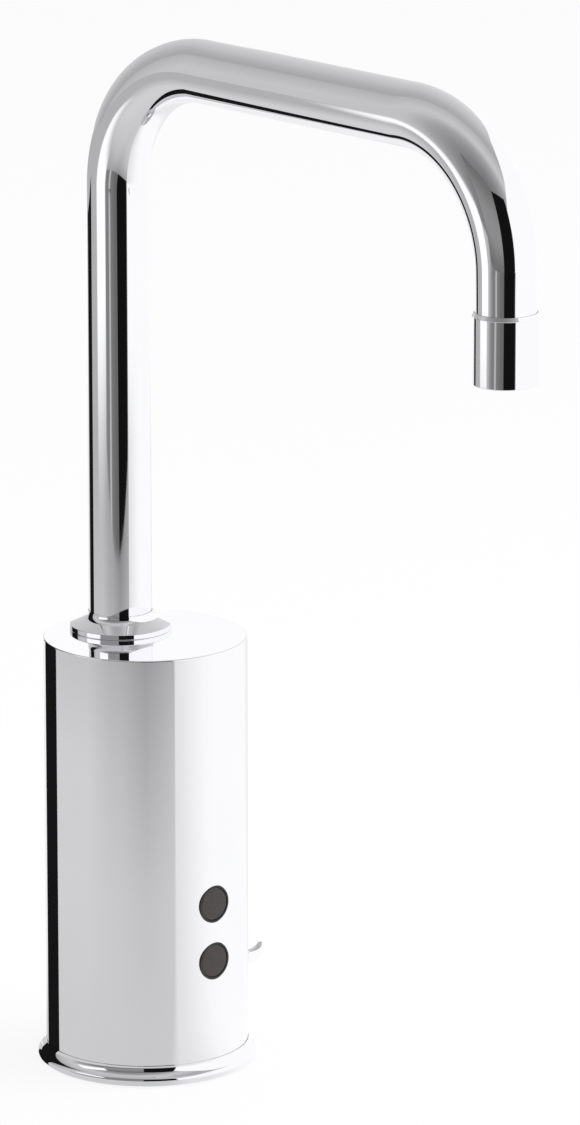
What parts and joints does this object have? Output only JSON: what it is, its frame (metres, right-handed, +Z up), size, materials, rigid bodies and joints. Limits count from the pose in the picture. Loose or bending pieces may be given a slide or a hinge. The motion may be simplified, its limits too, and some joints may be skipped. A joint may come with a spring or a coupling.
{
  "type": "sensor tap",
  "caption": "Touch-free deck-mounted basin tap: round column body, square gooseneck spout, round sensor windows on the front and a small temperature lever at the side.",
  "frame": {"origin": "on the deck, in the middle between the two stud holes, which is the axis of the round body", "axes": "+Z up, along the body; -Y forwards, towards the windows and the outlet; +X to the user's right, where the temperature lever is"},
  "size_m": [0.081, 0.1971, 0.3172],
  "materials": {
    "chrome": "polished",
    "brass": "turned",
    "steel": "plain",
    "rubber": "matt",
    "white_plastic": "matt",
    "black_plastic": "satin",
    "smoked_window": "gloss",
    "dark_lens": "gloss",
    "ceramic": "lapped",
    "coil_wrap": "moulded",
    "circuit_board": "satin",
    "battery_wrap": "satin"
  },
  "bodies": {
    "tap": {"body_shell": "chrome", "base_ring": "chrome", "spout_tube": "chrome", "spout_collar": "chrome", "outlet_sleeve": "chrome", "mounting_base": "brass", "spout_tail": "brass", "spout_nut": "brass", "outlet_adaptor": "brass", "valve_manifold": "brass", "cartridge_nut": "brass", "shell_screw": "steel", "spout_washer": "steel", "aerator_screen": "steel", "manifold_screws": "steel", "hot_strainer": "steel", "cold_strainer": "steel", "hot_check_spring": "steel", "cold_check_spring": "steel", "bonnet_screws": "steel", "armature_tube": "steel", "armature_spring": "steel", "sensor_screws": "steel", "holder_screws": "steel", "deck_gasket": "rubber", "collar_seal": "rubber", "tail_seals": "rubber", "aerator_seal": "rubber", "port_seals": "rubber", "spindle_seal": "rubber", "diaphragm": "rubber", "aerator_insert": "white_plastic", "hot_check_body": "white_plastic", "cold_check_body": "white_plastic", "cartridge_body": "white_plastic", "lever_bush": "black_plastic", "valve_bonnet": "black_plastic", "sensor_housing": "black_plastic", "sensor_cover": "black_plastic", "battery_holder": "black_plastic", "emitter_window": "smoked_window", "receiver_window": "smoked_window", "ir_emitter": "dark_lens", "ir_receiver": "dark_lens", "fixed_disc": "ceramic", "coil": "coil_wrap", "circuit_board": "circuit_board", "battery": "battery_wrap"},
    "mixer": {"mixing_lever": "chrome", "mixing_spindle": "brass", "moving_disc": "ceramic", "lever_screw": "steel"},
    "armature_rod": {"armature": "steel"},
    "diaphragm_disc": {"diaphragm_insert": "white_plastic"},
    "hot_poppet": {"hot_check_poppet": "black_plastic"},
    "cold_poppet": {"cold_check_poppet": "black_plastic"}
  },
  "joints": [
    {"name": "temperature_turn", "type": "hinge", "parent": "tap", "child": "mixer", "pos_m": [0, 0, 0.0228], "axis": [1, 0, 0], "range_deg": [-45, 45]},
    {"name": "armature_lift", "type": "slide", "parent": "tap", "child": "armature_rod", "axis": [0, 0, 1], "range_m": [0, 0.002], "stiffness_N_per_m": 300, "springref_m": -0.004, "deforming": ["armature_spring"]},
    {"name": "diaphragm_lift", "type": "slide", "parent": "tap", "child": "diaphragm_disc", "axis": [0, 0, 1], "range_m": [0, 0.0015], "deforming": ["diaphragm"]},
    {"name": "hot_check_lift", "type": "slide", "parent": "tap", "child": "hot_poppet", "axis": [0, 0, 1], "range_m": [0, 0.002], "stiffness_N_per_m": 60, "springref_m": -0.002, "deforming": ["hot_check_spring"]},
    {"name": "cold_check_lift", "type": "slide", "parent": "tap", "child": "cold_poppet", "axis": [0, 0, 1], "range_m": [0, 0.002], "stiffness_N_per_m": 60, "springref_m": -0.002, "deforming": ["cold_check_spring"]}
  ],
  "couplings": [
    {"joint": "diaphragm_lift", "follows": "armature_lift", "ratio": 0.75}
  ]
}
